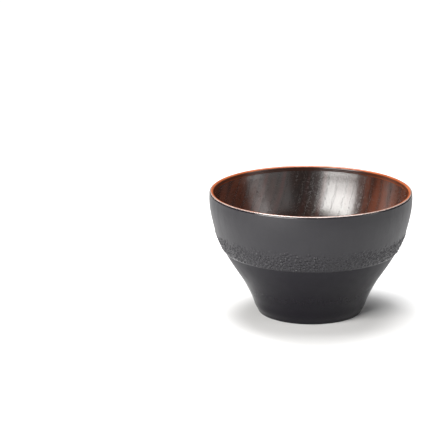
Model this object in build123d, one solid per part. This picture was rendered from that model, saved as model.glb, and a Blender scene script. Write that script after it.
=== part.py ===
from build123d import *
import math
import os

# Rice bowl: one turned wooden body carrying separate lacquer coats.
# Millimetres, +Z up, origin at the centre of the foot's resting face.
# Every coat is a body of revolution that lies face to face on the wood.

# ---------------------------------------------------------------- dimensions
RIM_DIAMETER = 120.0        # widest diameter, just under the lip
HEIGHT = 73.4               # resting face to the top of the lip
FOOT_DIAMETER = 62.0        # outer edge of the foot, measured just above its rounding
LIP_WIDTH = 2.5             # the lip is a full round of this width
COAT = 0.30                 # thickness of every smooth lacquer coat
RIM_COAT_PROUD = 0.10       # the amber edge coat stands this much over the inside coat
RIM_COAT_DEPTH = 1.6        # how far the edge coat comes down the inside wall
BLACK_OVER_LIP = 82.0       # the black coat stops at this angle up the lip round, degrees
BAND_BOTTOM = 38.2          # height of the textured band's lower ledge
BAND_TOP = 51.4             # height where the textured band runs out
BAND_PROUD = 0.25           # how far the band's ledge stands over the lower wall
FLOOR_TOP = 11.2            # inside floor on the axis
FOOT_ROUND = 0.6            # rounding of the foot's edges
FOOT_INNER_RADIUS = 26.6    # inside edge of the foot ring at the resting face
RECESS_DEPTH = 3.4          # hollow under the foot
RECESS_TAPER = 1.5          # how much the recess closes in over its depth
RECESS_ROUND = 1.2          # fillet where the recess wall meets its ceiling

RIM_RADIUS = RIM_DIAMETER / 2
LIP_RADIUS = LIP_WIDTH / 2
FOOT_RADIUS = FOOT_DIAMETER / 2

# Outer wall, radius as a share of the rim radius at each height in mm.
OUTER_STATIONS = [
    (0.5167, 1.0), (0.5432, 4.0), (0.5670, 8.0), (0.5965, 12.0), (0.6298, 16.0),
    (0.6675, 20.0), (0.7097, 24.0), (0.7540, 28.0), (0.7968, 32.0), (0.8362, 36.0),
    (0.8720, 40.0), (0.9045, 44.0), (0.9325, 48.0), (0.9530, 52.0), (0.9695, 56.0),
    (0.9840, 60.0), (0.9948, 64.0), (0.9997, 68.0),
]
# Inside surface, radius as a share of the rim radius at each height in mm.
INNER_STATIONS = [
    (0.9500, 69.0), (0.9383, 65.5), (0.9233, 61.5), (0.9042, 57.0), (0.8808, 52.5),
    (0.8525, 48.0), (0.8177, 43.5), (0.7767, 39.0), (0.7292, 34.6), (0.6777, 30.4),
    (0.6170, 26.2), (0.5450, 22.2), (0.4600, 18.6), (0.3600, 15.4), (0.2400, 12.85),
    (0.1150, 11.52),
]


def point(r, z):
    return Vector(r, 0, z)


def spline(points, start, end):
    return Edge.make_spline([point(*p) for p in points],
                            tangents=[Vector(start[0], 0, start[1]),
                                      Vector(end[0], 0, end[1])])


def line(a, b):
    return Edge.make_line(point(*a), point(*b))


def sample(edge, s):
    """Place and unit direction at a share s of the edge's length."""
    p = edge.position_at(s)
    t = edge.tangent_at(s)
    return (p.X, p.Z), (t.X, t.Z)


def share_at_height(edge, z):
    lo, hi = 0.0, 1.0
    rising = edge.position_at(1).Z > edge.position_at(0).Z
    for _ in range(60):
        mid = (lo + hi) / 2
        if (edge.position_at(mid).Z < z) == rising:
            lo = mid
        else:
            hi = mid
    return (lo + hi) / 2


def beside(edge, s0, s1, offset, count):
    """A smooth run beside part of an edge: offset is a number or a function
    of the share 0..1 along the run, positive to the left of the edge."""
    f = offset if callable(offset) else (lambda q: offset)
    pts = []
    for i in range(count + 1):
        q = i / count
        (r, z), (tr, tz) = sample(edge, s0 + (s1 - s0) * q)
        d = f(q)
        pts.append((r - tz * d, z + tr * d))
    ends = [sample(edge, s0)[1], sample(edge, s1)[1]]
    return spline(pts, ends[0], ends[1]), pts[0], pts[-1]


def arc(centre, radius, a0, a1):
    def at(a):
        return (centre[0] + radius * math.cos(math.radians(a)),
                centre[1] + radius * math.sin(math.radians(a)))
    edge = Edge.make_three_point_arc(point(*at(a0)), point(*at((a0 + a1) / 2)),
                                     point(*at(a1)))
    return edge, at(a0), at(a1)


def turned(edges):
    return revolve(Face(Wire(edges)), axis=Axis.Z)


# ---------------------------------------------------------------- base curves
lip_centre = (RIM_RADIUS - 0.03 - LIP_RADIUS, HEIGHT - LIP_RADIUS)
lip_outer = (lip_centre[0] + LIP_RADIUS, lip_centre[1])
lip_inner = (lip_centre[0] - LIP_RADIUS, lip_centre[1])

outer_points = [(k * RIM_RADIUS, z) for k, z in OUTER_STATIONS] + [lip_outer]
outer_curve = spline(outer_points, (0.40, 1.0), (0.0, 1.0))        # rises
inner_points = [lip_inner] + [(k * RIM_RADIUS, z) for k, z in INNER_STATIONS] \
    + [(0.0, FLOOR_TOP)]
inner_curve = spline(inner_points, (0.0, -1.0), (-1.0, 0.0))       # falls to the axis

s_ledge = share_at_height(outer_curve, BAND_BOTTOM)
s_fade = share_at_height(outer_curve, BAND_TOP)
s_edge = share_at_height(inner_curve, HEIGHT - LIP_RADIUS - RIM_COAT_DEPTH)

# Wood surface: one coat's thickness inside the lacquer.
wood_low, w_foot, w_ledge = beside(outer_curve, 0.0, s_ledge, COAT, 12)
wood_mid, _, w_fade = beside(outer_curve, s_ledge, s_fade, COAT, 6)
wood_high, _, w_lip = beside(outer_curve, s_fade, 1.0, COAT, 10)
wood_lip_black, _, w_turn = arc(lip_centre, LIP_RADIUS - COAT, 0, BLACK_OVER_LIP)
wood_lip_amber, _, w_lip_in = arc(lip_centre, LIP_RADIUS - COAT, BLACK_OVER_LIP, 180)
wood_edge, _, w_edge = beside(inner_curve, 0.0, s_edge, COAT, 3)
wood_inside, _, w_floor = beside(inner_curve, s_edge, 1.0, COAT, 26)

# Lacquer surface of each outside coat.
coat_low, c_foot, c_ledge = beside(outer_curve, 0.0, s_ledge, 0.0, 12)
band_face, b_ledge, b_fade = beside(
    outer_curve, s_ledge, s_fade, lambda q: -BAND_PROUD * (1 - q) ** 1.5, 8)
coat_high, c_fade, c_lip = beside(outer_curve, s_fade, 1.0, 0.0, 10)
coat_lip_black, _, c_turn = arc(lip_centre, LIP_RADIUS, 0, BLACK_OVER_LIP)

# The amber edge coat thickens from the black coat's edge to its own step inside.
amber_top, _, a_top = arc(lip_centre, LIP_RADIUS, BLACK_OVER_LIP, 150)
a_end_s = s_edge
amber_pts = [a_top]
for q, lift in ((0.0, 0.05), (0.35, 0.08), (0.7, RIM_COAT_PROUD), (1.0, RIM_COAT_PROUD)):
    (r, z), (tr, tz) = sample(inner_curve, a_end_s * q)
    amber_pts.append((r + tz * lift, z - tr * lift))
turn_dir = (-math.sin(math.radians(150)), math.cos(math.radians(150)))
amber_inside = spline(amber_pts, turn_dir, sample(inner_curve, a_end_s)[1])
a_step = amber_pts[-1]
coat_inside, c_edge, c_floor = beside(inner_curve, s_edge, 1.0, 0.0, 26)

# ---------------------------------------------------------------- foot
# Lacquer outline of the foot ring: outside edge, resting face, recess.
foot_top_out = c_foot
ring_out = (FOOT_RADIUS - 0.30 - FOOT_ROUND, 0.0)
corner_out = (FOOT_RADIUS - 0.30, FOOT_ROUND)
ring_in = (FOOT_INNER_RADIUS + FOOT_ROUND, 0.0)
recess_low = (FOOT_INNER_RADIUS - 0.04, FOOT_ROUND + 0.3)
recess_high = (FOOT_INNER_RADIUS - RECESS_TAPER + 0.5, RECESS_DEPTH - RECESS_ROUND)
recess_flat = (recess_high[0] - RECESS_ROUND, RECESS_DEPTH)

foot_corner = Edge.make_spline([point(*foot_top_out), point(*ring_out)],
                               tangents=[Vector(-0.40, 0, -1.0), Vector(-1, 0, 0)])
foot_face = line(ring_out, ring_in)
foot_inner_corner = Edge.make_spline([point(*ring_in), point(*recess_low)],
                                     tangents=[Vector(-1, 0, 0), Vector(-0.35, 0, 1.0)])
recess_wall = Edge.make_spline(
    [point(*recess_low), point(*recess_high), point(*recess_flat)],
    tangents=[Vector(-0.35, 0, 1.0), Vector(-1, 0, 0)])
recess_top = line(recess_flat, (0.0, RECESS_DEPTH))

# The same outline in the wood, one coat further in.
w_foot_bottom_out = (ring_out[0], COAT)
w_foot_bottom_in = (ring_in[0], COAT)
w_recess_low = (recess_low[0] + COAT, recess_low[1])
w_recess_high = (recess_high[0] + COAT, recess_high[1] + 0.05)
w_recess_flat = (recess_flat[0] + 0.1, RECESS_DEPTH + COAT)
wood_corner = Edge.make_spline([point(*w_foot), point(*w_foot_bottom_out)],
                               tangents=[Vector(-0.40, 0, -1.0), Vector(-1, 0, 0)])
wood_foot_face = line(w_foot_bottom_out, w_foot_bottom_in)
wood_inner_corner = Edge.make_spline([point(*w_foot_bottom_in), point(*w_recess_low)],
                                     tangents=[Vector(-1, 0, 0), Vector(-0.35, 0, 1.0)])
wood_recess_wall = Edge.make_spline(
    [point(*w_recess_low), point(*w_recess_high), point(*w_recess_flat)],
    tangents=[Vector(-0.35, 0, 1.0), Vector(-1, 0, 0)])
wood_recess_top = line(w_recess_flat, (0.0, RECESS_DEPTH + COAT))
w_recess_centre = (0.0, RECESS_DEPTH + COAT)

# ---------------------------------------------------------------- pieces
parts = {}

parts["wood_body"] = turned([
    wood_low, wood_mid, wood_high, wood_lip_black, wood_lip_amber, wood_edge,
    wood_inside, line(w_floor, w_recess_centre), wood_recess_top, wood_recess_wall,
    wood_inner_corner, wood_foot_face, wood_corner])

parts["lower_wall_lacquer"] = turned([
    wood_low, line(w_ledge, c_ledge), coat_low, line(c_foot, w_foot)])

parts["textured_band"] = turned([
    wood_mid, line(w_fade, b_fade), band_face, line(b_ledge, w_ledge)])

parts["upper_wall_lacquer"] = turned([
    wood_high, wood_lip_black, line(w_turn, c_turn), coat_lip_black, coat_high,
    line(c_fade, w_fade)])

parts["rim_lacquer"] = turned([
    wood_lip_amber, wood_edge, line(w_edge, a_step), amber_inside, amber_top,
    line(c_turn, w_turn)])

parts["inner_lacquer"] = turned([
    wood_inside, line(w_floor, c_floor), coat_inside, line(c_edge, w_edge)])

parts["foot_ring_lacquer"] = turned([
    wood_corner, wood_foot_face, wood_inner_corner, line(w_recess_low, recess_low),
    foot_inner_corner, foot_face, foot_corner, line(c_foot, w_foot)])

parts["foot_recess_lacquer"] = turned([
    wood_recess_wall, wood_recess_top, line(w_recess_centre, (0.0, RECESS_DEPTH)),
    recess_top, recess_wall, line(recess_low, w_recess_low)])

os.makedirs("parts", exist_ok=True)
for name, shape in parts.items():
    shape.label = name
    export_step(shape, f"parts/{name}.step")
    box = shape.bounding_box()
    print(f"{name:22s} volume {shape.volume:10.1f} mm3  z {box.min.Z:6.2f}..{box.max.Z:6.2f}"
          f"  r {box.max.X:6.2f}")
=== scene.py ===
import math

import bpy
import numpy as np
from mathutils import Matrix, Vector


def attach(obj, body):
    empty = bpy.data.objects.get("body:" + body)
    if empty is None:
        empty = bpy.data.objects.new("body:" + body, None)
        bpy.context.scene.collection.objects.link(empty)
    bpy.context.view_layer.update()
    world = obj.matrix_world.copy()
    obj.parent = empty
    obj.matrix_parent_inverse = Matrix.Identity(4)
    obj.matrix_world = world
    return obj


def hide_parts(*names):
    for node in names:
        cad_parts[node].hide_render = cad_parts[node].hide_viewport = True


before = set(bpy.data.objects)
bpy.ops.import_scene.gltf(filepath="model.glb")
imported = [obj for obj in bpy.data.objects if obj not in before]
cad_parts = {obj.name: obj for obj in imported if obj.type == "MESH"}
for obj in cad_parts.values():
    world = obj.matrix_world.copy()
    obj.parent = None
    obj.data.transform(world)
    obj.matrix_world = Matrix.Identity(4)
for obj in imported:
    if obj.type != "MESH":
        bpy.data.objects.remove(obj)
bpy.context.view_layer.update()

MM = 0.001

# --------------------------------------------------------------------------
# Profile of the bowl, millimetres. The same stations as the CAD model.
# --------------------------------------------------------------------------
RIM_R = 60.0
HEIGHT = 73.4
LIP_R = 1.25
COAT = 0.30
BAND_BOTTOM, BAND_TOP, BAND_PROUD = 38.2, 51.4, 0.25
FLOOR_TOP = 11.2
FOOT_R, FOOT_ROUND, FOOT_IN = 31.0, 0.6, 26.6
RECESS, RECESS_TAPER, RECESS_ROUND = 3.4, 1.5, 1.2
RIM_DEPTH = 1.6
RIM_PROUD = 0.10
BLACK_OVER_LIP = 82.0

OUTER = [
    (0.5167, 1.0), (0.5432, 4.0), (0.5670, 8.0), (0.5965, 12.0), (0.6298, 16.0),
    (0.6675, 20.0), (0.7097, 24.0), (0.7540, 28.0), (0.7968, 32.0), (0.8362, 36.0),
    (0.8720, 40.0), (0.9045, 44.0), (0.9325, 48.0), (0.9530, 52.0), (0.9695, 56.0),
    (0.9840, 60.0), (0.9948, 64.0), (0.9997, 68.0),
]
INNER = [
    (0.9500, 69.0), (0.9383, 65.5), (0.9233, 61.5), (0.9042, 57.0), (0.8808, 52.5),
    (0.8525, 48.0), (0.8177, 43.5), (0.7767, 39.0), (0.7292, 34.6), (0.6777, 30.4),
    (0.6170, 26.2), (0.5450, 22.2), (0.4600, 18.6), (0.3600, 15.4), (0.2400, 12.85),
    (0.1150, 11.52),
]


class Curve:
    """Cubic curve through (r, z) points with given end directions, read by arc length."""

    def __init__(self, pts, start, end):
        p = np.array(pts, float)
        t = np.concatenate([[0.0], np.cumsum(np.linalg.norm(np.diff(p, axis=0), axis=1))])
        n = len(p)
        a = np.zeros((n, n))
        b = np.zeros((n, 2))
        h = np.diff(t)
        a[0, 0] = a[-1, -1] = 1.0
        b[0] = np.array(start) / np.linalg.norm(start)
        b[-1] = np.array(end) / np.linalg.norm(end)
        for i in range(1, n - 1):
            a[i, i - 1] = h[i]
            a[i, i] = 2 * (h[i - 1] + h[i])
            a[i, i + 1] = h[i - 1]
            b[i] = 3 * (h[i] * (p[i] - p[i - 1]) / h[i - 1] + h[i - 1] * (p[i + 1] - p[i]) / h[i])
        self.p, self.t, self.m = p, t, np.linalg.solve(a, b)
        u = np.linspace(0, t[-1], 4001)
        q = self._at(u)
        self.u = u
        self.s = np.concatenate([[0.0], np.cumsum(np.linalg.norm(np.diff(q, axis=0), axis=1))])
        self.length = self.s[-1]

    def _at(self, u):
        i = np.clip(np.searchsorted(self.t, u, side="right") - 1, 0, len(self.t) - 2)
        h = self.t[i + 1] - self.t[i]
        x = ((u - self.t[i]) / h)[:, None]
        h = h[:, None]
        p0, p1, m0, m1 = self.p[i], self.p[i + 1], self.m[i] * h, self.m[i + 1] * h
        return ((2 * x**3 - 3 * x**2 + 1) * p0 + (x**3 - 2 * x**2 + x) * m0
                + (-2 * x**3 + 3 * x**2) * p1 + (x**3 - x**2) * m1)

    def at(self, s):
        """Points and unit directions at arc lengths s (mm)."""
        s = np.atleast_1d(np.asarray(s, float))
        u = np.interp(s, self.s, self.u)
        e = 1e-3
        lo, hi = np.clip(u - e, 0, self.t[-1]), np.clip(u + e, 0, self.t[-1])
        d = self._at(hi) - self._at(lo)
        d /= np.linalg.norm(d, axis=1)[:, None]
        return self._at(u), d

    def s_at_z(self, z):
        q = self._at(self.u)[:, 1]
        if q[-1] < q[0]:
            return float(np.interp(-z, -q, self.s))
        return float(np.interp(z, q, self.s))


LIP_C = (RIM_R - 0.03 - LIP_R, HEIGHT - LIP_R)
outer = Curve([(k * RIM_R, z) for k, z in OUTER] + [(LIP_C[0] + LIP_R, LIP_C[1])],
              (0.40, 1.0), (0.0, 1.0))
inner = Curve([(LIP_C[0] - LIP_R, LIP_C[1])] + [(k * RIM_R, z) for k, z in INNER]
              + [(0.0, FLOOR_TOP)], (0.0, -1.0), (-1.0, 0.0))
S_LEDGE = outer.s_at_z(BAND_BOTTOM)
S_FADE = outer.s_at_z(BAND_TOP)
S_EDGE = inner.s_at_z(HEIGHT - LIP_R - RIM_DEPTH)


# --------------------------------------------------------------------------
# Seamless noise on the turned surface, in numpy: u runs around, v along.
# --------------------------------------------------------------------------
def smooth(x):
    return x * x * (3 - 2 * x)


def step(a, b, x):
    return smooth(np.clip((x - a) / (b - a), 0, 1))


def value_noise(u, v, nu, cell_v, seed):
    """Smooth noise in -1..1. u is 0..1 around and wraps after nu cells; v in mm."""
    rng = np.random.default_rng(seed)
    rows = int(np.ceil((v.max() - v.min()) / cell_v)) + 3
    grid = rng.uniform(-1, 1, (nu, rows))
    x = (u % 1.0) * nu
    y = (v - v.min()) / cell_v
    i, j = np.floor(x).astype(int), np.floor(y).astype(int)
    fx, fy = smooth(x - i), smooth(y - j)
    i0, i1 = i % nu, (i + 1) % nu
    a = grid[i0, j] * (1 - fx) + grid[i1, j] * fx
    b = grid[i0, j + 1] * (1 - fx) + grid[i1, j + 1] * fx
    return a * (1 - fy) + b * fy


def cells(u, v, nu, cell_v, seed, shear=0.0, stretch=1.0):
    """Distances to the nearest and second nearest of jittered points (in cell widths),
    and the nearest point's own random number. Wraps around in u."""
    rng = np.random.default_rng(seed)
    v0 = v.min() - 2 * cell_v
    rows = int(np.ceil((v.max() - v0) / cell_v)) + 4
    jx = rng.uniform(0.08, 0.92, (nu, rows))
    jy = rng.uniform(0.08, 0.92, (nu, rows))
    idn = rng.uniform(0, 1, (nu, rows))
    y = (v - v0) / cell_v
    x = (u % 1.0) * nu + shear * y
    i, j = np.floor(x).astype(int), np.floor(y).astype(int)
    f1 = np.full(u.shape, 9.0)
    f2 = np.full(u.shape, 9.0)
    who = np.zeros(u.shape)
    for di in (-2, -1, 0, 1, 2):
        for dj in (-1, 0, 1):
            ci, cj = (i + di) % nu, np.clip(j + dj, 0, rows - 1)
            px = i + di + jx[ci, cj]
            py = j + dj + jy[ci, cj]
            dx, dy = (x - px) - shear * (y - py), (y - py)
            d = np.sqrt(dx * dx + (dy / stretch) ** 2)
            near = d < f1
            f2 = np.where(near, f1, np.minimum(f2, d))
            who = np.where(near, idn[ci, cj], who)
            f1 = np.where(near, d, f1)
    return f1, f2, who


# --------------------------------------------------------------------------
# Turned shells: a closed skin between an outside grid and an inside grid.
# --------------------------------------------------------------------------
def shell(name, face, back, n, closed_axis=False, material=None, uv=True):
    """face and back are arrays (rows, n, 2) or (rows, 2) of r, z in mm, rows in the same
    sense. The two are joined at both ends, so the piece is one closed skin.
    closed_axis: the last row of each lies on the turning axis and is one vertex."""
    def full(g):
        g = np.asarray(g, float)
        if g.ndim == 2:
            g = np.repeat(g[:, None, :], n, axis=1)
        return g
    face, back = full(face), full(back)
    phi = np.arange(n) / n * 2 * np.pi
    verts, index = [], []
    count = 0
    for g in (face, back):
        rows = []
        for k in range(g.shape[0]):
            if closed_axis and k == g.shape[0] - 1:
                verts.append(np.array([[0.0, 0.0, g[k, 0, 1]]]))
                rows.append(np.full(n, count))
                count += 1
                continue
            verts.append(np.stack([g[k, :, 0] * np.cos(phi), g[k, :, 0] * np.sin(phi),
                                   g[k, :, 1]], axis=1))
            rows.append(np.arange(n) + count)
            count += n
        index.append(rows)
    verts = np.concatenate(verts) * MM
    quads, tris = [], []

    def strip(lower, upper, flip):
        a, b = lower, np.roll(lower, -1)
        d, c = upper, np.roll(upper, -1)
        if upper[0] == upper[1]:
            t = np.stack([a, b, d], axis=1)
            tris.append(t[:, ::-1] if flip else t)
        elif lower[0] == lower[1]:
            t = np.stack([a, c, d], axis=1)
            tris.append(t[:, ::-1] if flip else t)
        else:
            q = np.stack([a, b, c, d], axis=1)
            quads.append(q[:, ::-1] if flip else q)
    f, b = index
    for k in range(len(f) - 1):
        strip(f[k], f[k + 1], False)
    for k in range(len(b) - 1):
        strip(b[k], b[k + 1], True)
    strip(b[0], f[0], False)
    if not closed_axis:
        strip(f[-1], b[-1], False)
    q = np.concatenate(quads)
    polys = q.reshape(-1)
    sizes = np.full(len(q), 4)
    if tris:
        t = np.concatenate(tris)
        polys = np.concatenate([polys, t.reshape(-1)])
        sizes = np.concatenate([sizes, np.full(len(t), 3)])
    me = bpy.data.meshes.new(name)
    me.vertices.add(len(verts))
    me.vertices.foreach_set("co", verts.reshape(-1))
    me.loops.add(len(polys))
    me.loops.foreach_set("vertex_index", polys.astype(np.int32))
    me.polygons.add(len(sizes))
    starts = np.concatenate([[0], np.cumsum(sizes)[:-1]])
    me.polygons.foreach_set("loop_start", starts.astype(np.int32))
    me.polygons.foreach_set("loop_total", sizes.astype(np.int32))
    me.polygons.foreach_set("use_smooth", np.ones(len(sizes), bool))
    me.update(calc_edges=True)
    me.validate()
    ob = bpy.data.objects.new(name, me)
    bpy.context.scene.collection.objects.link(ob)
    if material:
        me.materials.append(material)
    return ob


def signed_volume(ob):
    me = ob.data
    me.calc_loop_triangles()
    co = np.empty(len(me.vertices) * 3)
    me.vertices.foreach_get("co", co)
    co = co.reshape(-1, 3)
    tri = np.empty(len(me.loop_triangles) * 3, np.int32)
    me.loop_triangles.foreach_get("vertices", tri)
    tri = tri.reshape(-1, 3)
    a, b, c = co[tri[:, 0]], co[tri[:, 1]], co[tri[:, 2]]
    return float(np.einsum("ij,ij->i", a, np.cross(b, c)).sum() / 6), len(tri)


def outward(ob):
    vol, tris = signed_volume(ob)
    if vol < 0:
        ob.data.flip_normals()
    print(f"{ob.name:26s} tris {tris:7d} volume {abs(vol) * 1e9:9.1f} mm3")
    return ob


def crease(ob, angle=30.0):
    """Sharp edges where the skin turns a corner, so its ends shade crisply."""
    ob.data.set_sharp_from_angle(angle=math.radians(angle))


def offset(curve, s, d):
    """Rows of (r, z) beside a curve: d to the left of its direction, in mm."""
    p, t = curve.at(s)
    d = np.broadcast_to(np.asarray(d, float), (len(p),))
    return np.stack([p[:, 0] - t[:, 1] * d, p[:, 1] + t[:, 0] * d], axis=1)


# --------------------------------------------------------------------------
# Node helpers
# --------------------------------------------------------------------------
def new_material(name):
    m = bpy.data.materials.new(name)
    m.use_nodes = True
    nt = m.node_tree
    nt.nodes.clear()
    out = nt.nodes.new("ShaderNodeOutputMaterial")
    bsdf = nt.nodes.new("ShaderNodeBsdfPrincipled")
    nt.links.new(bsdf.outputs["BSDF"], out.inputs["Surface"])
    return m, nt, bsdf


class G:
    """Short hand for building node graphs."""

    def __init__(self, nt):
        self.nt = nt

    def node(self, kind, **props):
        n = self.nt.nodes.new(kind)
        for k, v in props.items():
            setattr(n, k, v)
        return n

    def put(self, n, socket, value):
        if isinstance(value, bpy.types.NodeSocket):
            self.nt.links.new(value, n.inputs[socket])
        elif value is not None:
            n.inputs[socket].default_value = value

    def math(self, op, a, b=None, c=None, clamp=False):
        n = self.node("ShaderNodeMath", operation=op, use_clamp=clamp)
        self.put(n, 0, a)
        self.put(n, 1, b)
        self.put(n, 2, c)
        return n.outputs[0]

    def mix(self, f, a, b):
        n = self.node("ShaderNodeMix", data_type="RGBA")
        self.put(n, 0, f)
        self.put(n, 6, a)
        self.put(n, 7, b)
        return n.outputs[2]

    def mixf(self, f, a, b):
        n = self.node("ShaderNodeMix", data_type="FLOAT")
        self.put(n, 0, f)
        self.put(n, 2, a)
        self.put(n, 3, b)
        return n.outputs[0]

    def ramp(self, f, lo, hi, a=0.0, b=1.0, kind="SMOOTHSTEP"):
        n = self.node("ShaderNodeMapRange", interpolation_type=kind)
        self.put(n, 0, f)
        self.put(n, 1, lo)
        self.put(n, 2, hi)
        self.put(n, 3, a)
        self.put(n, 4, b)
        return n.outputs[0]

    def coords(self):
        """Position on the resting bowl, in millimetres."""
        tc = self.node("ShaderNodeTexCoord")
        s = self.node("ShaderNodeVectorMath", operation="SCALE")
        self.put(s, 0, tc.outputs["Object"])
        s.inputs["Scale"].default_value = 1000.0
        return s.outputs[0]

    def vec(self, op, a, b=None, scale=None):
        n = self.node("ShaderNodeVectorMath", operation=op)
        self.put(n, 0, a)
        self.put(n, 1, b)
        if scale is not None:
            self.put(n, "Scale", scale)
        return n.outputs[0] if op not in ("LENGTH", "DOT_PRODUCT", "DISTANCE") else n.outputs[1]

    def mapping(self, v, loc=(0, 0, 0), rot=(0, 0, 0), scale=(1, 1, 1)):
        n = self.node("ShaderNodeMapping")
        self.put(n, 0, v)
        n.inputs["Location"].default_value = loc
        n.inputs["Rotation"].default_value = rot
        n.inputs["Scale"].default_value = scale
        return n.outputs[0]

    def noise(self, v, scale, detail=2.0, rough=0.5, distortion=0.0, out="Fac"):
        n = self.node("ShaderNodeTexNoise")
        self.put(n, "Vector", v)
        n.inputs["Scale"].default_value = scale
        n.inputs["Detail"].default_value = detail
        n.inputs["Roughness"].default_value = rough
        n.inputs["Distortion"].default_value = distortion
        return n.outputs[out]

    def voronoi(self, v, scale, feature="F1", randomness=1.0, out="Distance"):
        n = self.node("ShaderNodeTexVoronoi", feature=feature)
        self.put(n, "Vector", v)
        n.inputs["Scale"].default_value = scale
        n.inputs["Randomness"].default_value = randomness
        return n.outputs[out]

    def bump(self, height, strength, distance, normal=None):
        n = self.node("ShaderNodeBump")
        n.inputs["Strength"].default_value = strength
        n.inputs["Distance"].default_value = distance
        self.put(n, "Height", height)
        if normal is not None:
            self.put(n, "Normal", normal)
        return n.outputs[0]


def attribute(g, name):
    n = g.node("ShaderNodeAttribute", attribute_type="GEOMETRY", attribute_name=name)
    return n.outputs["Fac"]


# --------------------------------------------------------------------------
# Materials
# --------------------------------------------------------------------------
BLACK_ROUGH = 0.47
LOW_ROUGH = 0.31


def black_lacquer(name, rough=BLACK_ROUGH, low=LOW_ROUGH, peel=1.0, lip=False, grit=0.0, shine=0.5,
                  rise=(28.0, BAND_TOP)):
    """Satin black lacquer: a faint orange peel, fine rubbing marks and sparse specks."""
    m, nt, b = new_material(name)
    g = G(nt)
    p = g.coords()
    cloud = g.noise(p, 0.035, 2.0, 0.5)
    fine = g.noise(p, 0.9, 3.0, 0.55)
    col = g.mix(g.ramp(cloud, 0.3, 0.7), (0.0042, 0.0034, 0.0062, 1), (0.0060, 0.0052, 0.0080, 1))
    b.inputs["Specular IOR Level"].default_value = shine
    b.inputs["IOR"].default_value = 1.5
    # roughness wanders a little where the rubbing compound cut deeper
    rub = g.noise(g.mapping(p, scale=(1, 1, 0.25)), 0.22, 3.0, 0.6)
    r = g.ramp(rub, 0.3, 0.7, -0.03, 0.03)
    hgt = g.node("ShaderNodeSeparateXYZ")
    g.put(hgt, 0, p)
    r = g.math("ADD", r, g.ramp(hgt.outputs[2], rise[0], rise[1], low, rough))
    # orange peel about a millimetre across and a few microns deep
    h1 = g.noise(p, 0.58, 2.0, 0.5)
    h2 = g.noise(p, 2.6, 2.0, 0.5)
    h = g.math("ADD", g.math("MULTIPLY", h1, 0.016 * peel), g.math("MULTIPLY", h2, 0.0035 * peel))
    # a few dust nibs under the lacquer
    d = g.voronoi(p, 0.11)
    nib = g.ramp(d, 0.035, 0.06, 1.0, 0.0)
    h = g.math("ADD", h, g.math("MULTIPLY", nib, 0.012))
    if grit:
        # fine wrinkles and pits between the pebbles, fading out up the wall
        sep = g.node("ShaderNodeSeparateXYZ")
        g.put(sep, 0, p)
        fade = g.math("MULTIPLY", g.ramp(sep.outputs[2], BAND_BOTTOM + 0.2, BAND_BOTTOM + 1.4),
                      g.ramp(sep.outputs[2], BAND_BOTTOM + 7.5, BAND_TOP, 1.0, 0.0))
        pit = g.voronoi(p, 0.80)
        wr = g.noise(p, 1.1, 2.0, 0.5)
        gh = g.math("ADD", g.math("MULTIPLY", g.ramp(pit, 0.1, 0.6), -0.8), wr)
        h = g.math("ADD", h, g.math("MULTIPLY", g.math("MULTIPLY", gh, fade), grit))
    if lip:
        # hands and stacking have polished the edge; the pale band over the top of the lip is partly chips showing
        # paler ground coat and partly a painted highlight
        sep = g.node("ShaderNodeSeparateXYZ")
        g.put(sep, 0, p)
        x, y, z = sep.outputs
        rr = g.math("SQRT", g.math("ADD", g.math("MULTIPLY", x, x), g.math("MULTIPLY", y, y)))
        a = g.math("ARCTAN2", g.math("SUBTRACT", z, LIP_C[1]), g.math("SUBTRACT", rr, LIP_C[0]))
        a = g.math("MULTIPLY", a, 57.2958)
        edge = g.ramp(a, 0.0, 22.0)
        r = g.mixf(edge, r, 0.14)
        chip = g.noise(p, 1.7, 2.0, 0.6)
        rag = g.math("MULTIPLY", g.math("SUBTRACT", chip, 0.5), 90.0)
        # painted highlight and wear: pale colour over the top of the lip, at lip angles of about 40 to 64 degrees,
        # all round the rim
        wear_and_painted_highlight = g.ramp(g.math("ADD", a, rag), 40.0, 64.0)
        col = g.mix(g.math("MULTIPLY", wear_and_painted_highlight, 0.85), col, (0.36, 0.285, 0.255, 1))
    n = g.bump(h, 1.0, 0.001)
    nt.links.new(col, b.inputs["Base Color"])
    nt.links.new(r, b.inputs["Roughness"])
    nt.links.new(n, b.inputs["Normal"])
    return m


def wood_graph(g, p):
    """Ring-porous wood in the solid, turned from a blank with its fibres along Y, so the
    wall shows end grain towards -Y and +Y and long grain towards -X and +X. The growth
    rings are nearly flat sheets that lean to +X at the top. Returns the wood's own
    coordinates, the place within a ring (0..1), a random number for each ring and the
    share of end grain that the surface shows."""
    q = g.mapping(p, rot=(0.0, math.radians(-16.0), math.radians(4.0)))
    warp = g.noise(g.mapping(q, scale=(1, 0.15, 0.5)), 0.022, 2.0, 0.5, out="Color")
    warp = g.vec("SCALE", g.vec("SUBTRACT", warp, (0.5, 0.5, 0.5)), scale=11.0)
    sep = g.node("ShaderNodeSeparateXYZ")
    g.put(sep, 0, g.vec("ADD", q, warp))
    px = g.math("ADD", sep.outputs[0], 210.0)
    pz = g.math("ADD", sep.outputs[2], -50.0)
    dist = g.math("SQRT", g.math("ADD", g.math("MULTIPLY", px, px), g.math("MULTIPLY", pz, pz)))
    wob = g.noise(g.mapping(q, scale=(1, 0.1, 0.35)), 0.14, 2.0, 0.5)
    ring = g.math("ADD", g.math("MULTIPLY", dist, 1.0 / 5.3), g.math("MULTIPLY", wob, 0.35))
    phase = g.math("FRACT", ring)
    rnd = g.node("ShaderNodeTexWhiteNoise", noise_dimensions="1D")
    g.put(rnd, "W", g.math("FLOOR", ring))
    tc = g.node("ShaderNodeTexCoord")
    nrm = g.node("ShaderNodeSeparateXYZ")
    g.put(nrm, 0, tc.outputs["Normal"])
    end = g.ramp(g.math("ABSOLUTE", nrm.outputs[1]), 0.50, 0.97)
    return q, phase, rnd.outputs["Value"], end


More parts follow.
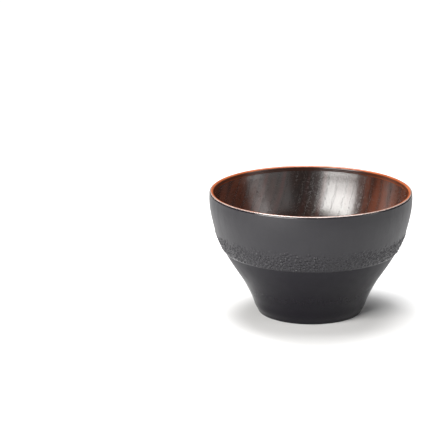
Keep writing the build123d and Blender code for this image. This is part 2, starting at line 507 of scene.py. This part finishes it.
def pores(g, q, phase):
    """Open pores: fine tubes along the fibres, in a crowded belt where each ring begins
    and in short slanting clusters through the rest of it."""
    belt = g.math("MULTIPLY", g.ramp(phase, 0.0, 0.10), g.ramp(phase, 0.16, 0.42, 1.0, 0.0))
    big = g.voronoi(g.mapping(q, scale=(1.9, 0.11, 1.5)), 1.0)
    big = g.math("MULTIPLY", g.ramp(big, 0.20, 0.40, 1.0, 0.0), g.ramp(belt, 0.25, 0.6))
    clus = g.noise(g.mapping(q, rot=(0, math.radians(38), 0), scale=(0.55, 0.06, 1.9)), 1.0, 1.0, 0.5)
    small = g.voronoi(g.mapping(q, loc=(3.3, 0, 1.7), scale=(2.7, 0.14, 2.1)), 1.0)
    small = g.math("MULTIPLY", g.ramp(small, 0.20, 0.42, 1.0, 0.0), g.ramp(clus, 0.52, 0.62))
    return g.math("MAXIMUM", big, g.math("MULTIPLY", small, 0.8)), belt


def inside_lacquer(name):
    m, nt, b = new_material(name)
    g = G(nt)
    p = g.coords()
    q, phase, rnd, end = wood_graph(g, p)
    pore, belt = pores(g, q, phase)
    late = g.math("MULTIPLY", g.ramp(phase, 0.35, 0.72), g.ramp(phase, 0.82, 1.0, 1.0, 0.0))
    late = g.math("MULTIPLY", late, g.ramp(rnd, 0.0, 1.0, 0.35, 1.0, "LINEAR"))
    fib = g.noise(g.mapping(q, scale=(1.5, 0.05, 1.5)), 1.0, 3.0, 0.6)
    soft = g.noise(g.mapping(q, scale=(0.16, 0.02, 0.05)), 1.0, 2.0, 0.5)
    cloud = g.noise(p, 0.045, 2.0, 0.5)
    # long grain takes less colour than end grain
    lg = g.mix(g.ramp(soft, 0.35, 0.66), (0.040, 0.0120, 0.0062, 1), (0.090, 0.0235, 0.0100, 1))
    lg = g.mix(g.math("MULTIPLY", late, 0.25), lg, (0.140, 0.0400, 0.0170, 1))
    eg = g.mix(g.ramp(cloud, 0.35, 0.68), (0.0085, 0.0055, 0.0048, 1), (0.0170, 0.0080, 0.0060, 1))
    eg = g.mix(g.math("MULTIPLY", g.math("MULTIPLY", late, g.ramp(rnd, 0.45, 0.75)), 0.75), eg, (0.0460, 0.0086, 0.0060, 1))
    base = g.mix(end, lg, eg)
    base = g.mix(g.math("MULTIPLY", belt, 0.28), base, (0.0110, 0.0062, 0.0050, 1))
    base = g.mix(g.ramp(fib, 0.50, 0.78, 0.0, 0.16), base, (0.110, 0.0280, 0.0120, 1))
    base = g.mix(g.math("MULTIPLY", pore, 0.80), base, (0.0060, 0.0042, 0.0038, 1))
    nt.links.new(base, b.inputs["Base Color"])
    h = g.math("MULTIPLY", pore, -0.020)
    h = g.math("ADD", h, g.math("MULTIPLY", fib, 0.007))
    h = g.math("ADD", h, g.math("MULTIPLY", g.noise(p, 0.5, 2.0, 0.5), 0.006))
    nt.links.new(g.bump(h, 1.0, 0.001), b.inputs["Normal"])
    r = g.math("ADD", g.ramp(soft, 0.3, 0.7, 0.19, 0.24), g.math("MULTIPLY", pore, 0.18))
    nt.links.new(r, b.inputs["Roughness"])
    b.inputs["IOR"].default_value = 1.5
    b.inputs["Specular IOR Level"].default_value = 0.75
    return m


def amber_lacquer(name):
    """Amber over the top of the lip, darkening to brown as the coat thickens down the
    inside, with a thin amber line where it stops at its own step."""
    m, nt, b = new_material(name)
    g = G(nt)
    p = g.coords()
    q, phase, rnd, end = wood_graph(g, p)
    sep = g.node("ShaderNodeSeparateXYZ")
    g.put(sep, 0, p)
    x, y, z = sep.outputs
    r = g.math("SQRT", g.math("ADD", g.math("MULTIPLY", x, x), g.math("MULTIPLY", y, y)))
    ang = g.math("ARCTAN2", g.math("SUBTRACT", z, LIP_C[1]), g.math("SUBTRACT", r, LIP_C[0]))
    ang = g.math("MULTIPLY", g.math("ABSOLUTE", ang), 57.2958)
    uneven = g.noise(p, 0.35, 2.0, 0.5)
    ang = g.math("ADD", ang, g.math("MULTIPLY", g.math("SUBTRACT", uneven, 0.5), 22.0))
    below = g.ramp(z, LIP_C[1] - 0.25, LIP_C[1] + 0.1, 1.0, 0.0)
    brown = g.math("MAXIMUM", g.ramp(ang, 136.0, 160.0), below)
    line = g.math("MULTIPLY", g.ramp(z, 70.52, 70.70), g.ramp(z, 70.92, 71.15, 1.0, 0.0))
    fib = g.noise(g.mapping(q, scale=(1.2, 0.08, 1.2)), 1.0, 3.0, 0.6)
    cloud = g.noise(p, 0.07, 2.0, 0.5)
    base = g.mix(g.ramp(cloud, 0.3, 0.7), (0.30, 0.070, 0.021, 1), (0.39, 0.106, 0.034, 1))
    base = g.mix(g.ramp(fib, 0.45, 0.75, 0.0, 0.55), base, (0.27, 0.055, 0.018, 1))
    base = g.mix(g.math("MULTIPLY", end, 0.45), base, (0.22, 0.045, 0.014, 1))
    dark = g.mix(end, (0.075, 0.0190, 0.0080, 1), (0.022, 0.0085, 0.0055, 1))
    base = g.mix(brown, base, dark)
    base = g.mix(g.math("MULTIPLY", line, g.math("SUBTRACT", 0.62, g.math("MULTIPLY", end, 0.62))),
                 base, (0.26, 0.062, 0.018, 1))
    nt.links.new(base, b.inputs["Base Color"])
    h = g.noise(p, 1.4, 2.0, 0.5)
    nt.links.new(g.bump(g.math("MULTIPLY", h, 0.008), 1.0, 0.001), b.inputs["Normal"])
    b.inputs["Roughness"].default_value = 0.24
    b.inputs["IOR"].default_value = 1.5
    return m


def bare_wood(name):
    m, nt, b = new_material(name)
    g = G(nt)
    p = g.coords()
    q, phase, rnd, end = wood_graph(g, p)
    early = g.math("MULTIPLY", g.ramp(phase, 0.0, 0.05), g.ramp(phase, 0.30, 0.48, 1.0, 0.0))
    fib = g.noise(g.mapping(q, scale=(1.5, 0.05, 1.5)), 1.0, 3.0, 0.6)
    base = g.mix(fib, (0.42, 0.23, 0.10, 1), (0.56, 0.34, 0.16, 1))
    base = g.mix(g.math("MULTIPLY", early, 0.6), base, (0.24, 0.12, 0.05, 1))
    nt.links.new(base, b.inputs["Base Color"])
    n = g.bump(g.math("MULTIPLY", fib, 0.02), 1.0, 0.001)
    nt.links.new(n, b.inputs["Normal"])
    b.inputs["Roughness"].default_value = 0.6
    return m


mat_black = black_lacquer("satin_black_lacquer", rough=0.54, low=0.24, peel=1.8, shine=0.25, rise=(10.0, 39.0))
mat_upper = black_lacquer("satin_black_lacquer_polished_edge_painted_highlight", peel=3.2, lip=True, shine=0.46)
mat_band = black_lacquer("pebbled_black_lacquer", low=0.16, peel=3.2, grit=0.12, shine=0.46)
mat_foot = black_lacquer("foot_black_lacquer", low=0.24, shine=0.25)
mat_inside = inside_lacquer("brown_lacquer_over_wood")
mat_amber = amber_lacquer("amber_lacquer")
mat_wood = bare_wood("turned_wood")

# --------------------------------------------------------------------------
# Pieces
# --------------------------------------------------------------------------
AROUND = 1440
u_ring = np.arange(AROUND) / AROUND


def grid_offset(curve, s, n, disp):
    """Rows of the curve pushed out to its right (away from the wood on the outside
    curve) by disp, an array (rows, n)."""
    p, t = curve.at(s)
    r = p[:, 0][:, None] + t[:, 1][:, None] * disp
    z = p[:, 1][:, None] - t[:, 0][:, None] * disp
    return np.stack([r, z], axis=2)


# textured band ------------------------------------------------------------
def band_relief(s):
    """Pebbled relief in mm over rows s (arc length) and AROUND columns."""
    v = np.repeat((s - s[0])[:, None], AROUND, axis=1)
    u = np.repeat(u_ring[None, :], len(s), axis=0)
    girth = 2 * math.pi * 54.0
    span = s[-1] - s[0]
    q = v / span
    n1 = int(round(girth / 1.85))
    f1, f2, who = cells(u, v, n1, 1.65, 11, shear=0.25, stretch=1.15)
    pebble = np.clip(1.0 - f1 / 0.60, 0, 1)
    pebble = smooth(pebble)
    m1 = int(round(girth / 0.55))
    g1, g2, gid = cells(u, v, m1, 0.6, 23, shear=0.9, stretch=1.5)
    grit = smooth(np.clip(1.0 - g1 / 0.60, 0, 1))
    wave = value_noise(u + v * 0.0035, v, int(round(girth / 2.3)), 1.5, 5)
    lump = value_noise(u, v, int(round(girth / 9.0)), 6.0, 9)
    # how much of the relief stands at each place: full near the ledge, then broken,
    # then a few specks that run out in the smooth upper wall
    edge = value_noise(u, v, int(round(girth / 3.0)), 2.0, 31)
    ragged = q + 0.13 * edge + 0.10 * lump
    strong = 1.0 - step(0.60, 1.04, ragged)
    sparse = step(0.35 + 0.62 * np.clip(q, 0, 1), 0.45 + 0.62 * np.clip(q, 0, 1) + 0.25, who + 0.25)
    lone = (1.0 - step(0.80, 0.99, q)) * sparse
    margin = step(0.35, 1.25, v)                       # smooth rolled margin above the ledge
    amp = margin * np.clip(strong + 0.55 * lone * (1 - strong), 0, 1)
    size = 0.6 + 0.8 * who
    h = amp * (0.520 * size * pebble + 0.110 * grit + 0.060 * wave - 0.140)
    return h


rows = 62
s_band = np.linspace(S_LEDGE, S_FADE, rows)
qb = (s_band - S_LEDGE) / (S_FADE - S_LEDGE)
proud = BAND_PROUD * (1 - qb) ** 1.5
# the ledge's upper edge is rolled over, not knife sharp
roll = 0.10 * (1 - step(0.0, 0.55, s_band - s_band[0]))
relief = band_relief(s_band)
relief *= step(0.0, 0.4, (S_FADE - s_band))[:, None]
band_face = grid_offset(outer, s_band, AROUND, proud[:, None] - roll[:, None] + relief)
band_back = offset(outer, np.linspace(S_LEDGE, S_FADE, 3), COAT)
band = shell("textured_band_relief", band_face, band_back, AROUND, material=mat_band)
outward(band)
crease(band, 40)

# lower wall ---------------------------------------------------------------
N_LOW = 960
u_low = np.arange(N_LOW) / N_LOW
s_low = np.concatenate([np.linspace(0, S_LEDGE - 3, 52), np.linspace(S_LEDGE - 3, S_LEDGE, 14)[1:]])
vv = np.repeat(s_low[:, None], N_LOW, axis=1)
uu = np.repeat(u_low[None, :], len(s_low), axis=0)
turning = 0.010 * value_noise(uu, vv, 24, 5.0, 3) + 0.004 * value_noise(uu, vv, 90, 1.6, 4)
# brushed sweep marks just under the ledge
sweep = 0.012 * value_noise(uu + vv * 0.010, vv, 150, 1.1, 14) * step(S_LEDGE - 7, S_LEDGE - 1, vv)
low_disp = (turning + sweep) * step(0, 2, vv) * (1 - step(S_LEDGE - 0.4, S_LEDGE, vv))
low_face = grid_offset(outer, s_low, N_LOW, low_disp)
low_back = offset(outer, np.linspace(0, S_LEDGE, 24), COAT)
low = shell("lower_wall_coat", low_face, low_back, N_LOW, material=mat_black)
outward(low)
crease(low, 40)

# upper wall and the black coat's worn edge on the lip ----------------------
n_up = AROUND
s_up = np.concatenate([np.linspace(S_FADE, S_FADE + 3, 8), np.linspace(S_FADE + 3, outer.length, 18)[1:]])
vv = np.repeat(s_up[:, None], n_up, axis=1)
uu = np.repeat(u_ring[None, :], len(s_up), axis=0)
up_disp = 0.008 * value_noise(uu, vv, 30, 6.0, 6) + 0.003 * value_noise(uu, vv, 110, 1.5, 7) - 0.006
up_disp *= step(S_FADE, S_FADE + 1.0, vv) * (1 - step(outer.length - 1.5, outer.length, vv))
up_face = grid_offset(outer, s_up, n_up, up_disp)


def black_edge():
    """Lip angle, in degrees, at which the black coat stops, around the rim."""
    u = u_ring[None, :]
    v = np.zeros_like(u)
    e = 3.0 * value_noise(u, v, 60, 1.0, 41)[0]
    e = e + 3.5 * value_noise(u, v, 240, 1.0, 42)[0]
    chip = value_noise(u, v, 520, 1.0, 43)[0]
    patch = step(0.1, 0.6, value_noise(u, v, 22, 1.0, 44)[0])
    e = e - 13.0 * patch * step(0.25, 0.75, chip)
    return BLACK_OVER_LIP + e


edge_deg = black_edge()


def lip_rows(a0, a1, count, radius, facet=False):
    """Rows of the lip round between angles a0 and a1 (each a number or one per column).
    facet: the narrow flat, half a millimetre wide, that wear has polished on the lip."""
    a0 = np.broadcast_to(np.asarray(a0, float), (AROUND,))
    a1 = np.broadcast_to(np.asarray(a1, float), (AROUND,))
    k = np.linspace(0, 1, count)[:, None]
    a = np.radians(a0[None, :] * (1 - k) + a1[None, :] * k)
    rad = np.broadcast_to(np.asarray(radius, float), (count,))[:, None]
    if facet:
        half = math.radians(14.0)
        rad = rad * math.cos(half) / np.cos(np.clip(a - math.radians(60.0), -half, half))
    return np.stack([LIP_C[0] + rad * np.cos(a), LIP_C[1] + rad * np.sin(a)], axis=2)


black_lip = lip_rows(0, edge_deg, 20, LIP_R, facet=True)[1:]
up_face = np.concatenate([up_face, black_lip])
back_s = np.linspace(S_FADE, outer.length, 14)
up_back = np.repeat(offset(outer, back_s, COAT)[:, None, :], n_up, axis=1)
up_back = np.concatenate([up_back, lip_rows(0, edge_deg, 6, LIP_R - COAT)[1:]])
upper = shell("upper_wall_coat", up_face, up_back, n_up, material=mat_upper)
outward(upper)
crease(upper, 40)

# amber edge coat -----------------------------------------------------------
amber_lip = lip_rows(edge_deg, 150, 18, LIP_R - 0.015)
lift = np.array([0.05, 0.08, RIM_PROUD, RIM_PROUD])
k = np.array([0.0, 0.35, 0.7, 1.0])
s_in = np.linspace(0, S_EDGE, 10)
lift_in = np.interp(s_in / S_EDGE, k, lift)
# rounded step where the edge coat ends
lift_in = lift_in - 0.06 * step(0.75, 1.0, s_in / S_EDGE)
amber_side = np.repeat(offset(inner, s_in, -lift_in)[:, None, :], AROUND, axis=1)
amber_face = np.concatenate([amber_lip[:-1], lip_rows(150, 178, 5, [LIP_R - 0.015, LIP_R + 0.0, LIP_R + 0.02, LIP_R + 0.035, LIP_R + 0.05]), amber_side[1:]])
amber_back = np.concatenate([lip_rows(edge_deg, 180, 12, LIP_R - COAT)[:-1],
                             np.repeat(offset(inner, np.linspace(0, S_EDGE, 5), COAT)[:, None, :], AROUND, axis=1)])
rim = shell("amber_edge_coat", amber_face, amber_back, AROUND, material=mat_amber)
outward(rim)
crease(rim, 40)

# inside --------------------------------------------------------------------
N_IN = 576
s_ins = np.linspace(S_EDGE, inner.length, 120)
uu = np.repeat((np.arange(N_IN) / N_IN)[None, :], len(s_ins), axis=0)
vv = np.repeat(s_ins[:, None], N_IN, axis=1)
dish = 0.010 * value_noise(uu, vv, 18, 7.0, 51) * step(0, 3, vv - S_EDGE) * (1 - step(inner.length - 14, inner.length - 4, vv))
p_in, t_in = inner.at(s_ins)
# the inside curve runs down and inwards, so the free side is on its right
in_face = np.stack([p_in[:, 0][:, None] + t_in[:, 1][:, None] * dish,
                    p_in[:, 1][:, None] - t_in[:, 0][:, None] * dish], axis=2)
in_back = offset(inner, np.linspace(S_EDGE, inner.length, 50), COAT)
inside = shell("inside_coat", in_face, in_back, N_IN, closed_axis=True, material=mat_inside)
outward(inside)
crease(inside, 40)

# foot ring and recess ------------------------------------------------------
N_FOOT = 480


def bend(p0, d0, p1, d1, count):
    return Curve([p0, p1], d0, d1)._at(np.linspace(0, np.hypot(p1[0] - p0[0], p1[1] - p0[1]), count))


top_out = tuple(outer.at([0.0])[0][0])
w_top_out = tuple(offset(outer, np.array([0.0]), COAT)[0])
ring_out, ring_in = (FOOT_R - 0.30 - FOOT_ROUND, 0.0), (FOOT_IN + FOOT_ROUND, 0.0)
rec_low = (FOOT_IN - 0.04, FOOT_ROUND + 0.3)
rec_high = (FOOT_IN - RECESS_TAPER + 0.5, RECESS - RECESS_ROUND)
rec_flat = (rec_high[0] - RECESS_ROUND, RECESS)
ring_face = np.concatenate([
    bend(top_out, (-0.40, -1.0), ring_out, (-1, 0), 10),
    np.linspace(ring_out, ring_in, 4)[1:-1],
    bend(ring_in, (-1, 0), rec_low, (-0.35, 1.0), 10)])
ring_back = np.concatenate([
    bend(w_top_out, (-0.40, -1.0), (ring_out[0], COAT), (-1, 0), 6),
    bend((ring_in[0], COAT), (-1, 0), (rec_low[0] + COAT, rec_low[1]), (-0.35, 1.0), 6)])
ring = shell("foot_ring_coat", ring_face, ring_back, N_FOOT, material=mat_foot)
outward(ring)
crease(ring, 40)

wall = Curve([rec_low, rec_high, rec_flat], (-0.35, 1.0), (-1, 0))
w_wall = Curve([(rec_low[0] + COAT, rec_low[1]), (rec_high[0] + COAT, rec_high[1] + 0.05),
                (rec_flat[0] + 0.1, RECESS + COAT)], (-0.35, 1.0), (-1, 0))
rad = np.linspace(rec_flat[0], 0, 26)[1:]
s_w = np.linspace(0, wall.length, 14)
rec_face = np.concatenate([wall.at(s_w)[0], np.stack([rad, np.full(len(rad), RECESS)], axis=1)])
rec_back = np.concatenate([w_wall.at(np.linspace(0, w_wall.length, 10))[0],
                           np.stack([rad[::4], np.full(len(rad[::4]), RECESS + COAT)], axis=1)])
recess = shell("foot_recess_coat", rec_face, rec_back, N_FOOT, closed_axis=True, material=mat_foot)
outward(recess)
crease(recess, 40)

# the wood itself is the CAD node, with its own material
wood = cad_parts["wood_body"]
wood.data.materials.clear()
wood.data.materials.append(mat_wood)

for piece, node, slot in (
        (band, "textured_band", "textured_lacquer"),
        (low, "lower_wall_lacquer", "black_lacquer"),
        (upper, "upper_wall_lacquer", "black_lacquer"),
        (rim, "rim_lacquer", "amber_lacquer"),
        (inside, "inner_lacquer", "brown_lacquer"),
        (ring, "foot_ring_lacquer", "black_lacquer"),
        (recess, "foot_recess_lacquer", "black_lacquer")):
    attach(piece, "root")
    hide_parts(node)

# --------------------------------------------------------------------------
# Stage: white ground, soft studio light, camera
# --------------------------------------------------------------------------
scene = bpy.context.scene
scene.view_settings.view_transform = "Standard"
scene.view_settings.look = "None"
scene.view_settings.exposure = 0.0
scene.view_settings.gamma = 1.0


def ground():
    me = bpy.data.meshes.new("ground")
    w = 9.0
    me.from_pydata([(-w, -w, 0), (w, -w, 0), (w, w, 0), (-w, w, 0)], [], [(0, 1, 2, 3)])
    ob = bpy.data.objects.new("ground", me)
    scene.collection.objects.link(ob)
    m, nt, b = new_material("white_ground")
    g = G(nt)
    n = g.noise(g.coords(), 0.01, 2.0, 0.5)
    nt.links.new(g.mix(n, (0.74, 0.74, 0.74, 1), (0.76, 0.76, 0.76, 1)), b.inputs["Base Color"])
    b.inputs["Roughness"].default_value = 0.8
    b.inputs["Specular IOR Level"].default_value = 0.1
    me.materials.append(m)
    return ob


floor = ground()


def softbox(name, az, el, dist, size_x, size_y, power, target=(0, 0, 0.04), color=(1, 1, 1)):
    """An area light at azimuth az (0 is the camera's side, positive to the right) and
    elevation el, aimed at the bowl. Sizes in metres, power in watts."""
    a, e = math.radians(az), math.radians(el)
    t = Vector(target)
    pos = t + Vector((math.sin(a) * math.cos(e), -math.cos(a) * math.cos(e), math.sin(e))) * dist
    li = bpy.data.lights.new(name, "AREA")
    li.shape = "RECTANGLE"
    li.size, li.size_y = size_x, size_y
    li.energy = power
    li.color = color
    ob = bpy.data.objects.new(name, li)
    ob.location = pos
    ob.rotation_euler = (t - pos).to_track_quat("-Z", "Y").to_euler()
    scene.collection.objects.link(ob)
    return ob


world = bpy.data.worlds.new("studio")
scene.world = world
world.use_nodes = True
bg = world.node_tree.nodes["Background"]
bg.inputs["Color"].default_value = (1, 1, 1, 1)
bg.inputs["Strength"].default_value = 0.105

# azimuth, elevation, distance m, width m, height m, power W
SOFTBOXES = {
    "key_softbox": (-40.2, 22.5, 0.8, 0.60, 0.34, 10.8, (0, 0, 0.04), (1.0, 0.985, 0.96)),
    "right_fill_front": (41.0, 17.0, 1.5, 0.90, 0.70, 2.0),
    "right_fill_side": (70.0, 17.0, 1.5, 0.60, 0.70, 4.2),
    "overhead_back_left": (-150.0, 67.0, 1.5, 0.68, 0.48, 20.3),
    "overhead_back_right": (150.0, 67.0, 1.5, 0.68, 0.48, 8.5),
    "overhead": (0.0, 90.0, 1.5, 0.69, 0.69, 15.5),
}
for box_name, box in SOFTBOXES.items():
    softbox(box_name, *box)

cam_data = bpy.data.cameras.new("camera")
cam = bpy.data.objects.new("camera", cam_data)
scene.collection.objects.link(cam)
cam_data.sensor_width = 36.0
cam_data.lens = 2702.9 / 440.0 * 36.0
cam_data.clip_start = 0.05
cam_data.clip_end = 50.0
cam.location = (-0.05359, -1.54140, 0.48427)
cam.rotation_euler = (math.radians(90.0 - 15.554), 0.0, 0.0)
scene.camera = cam
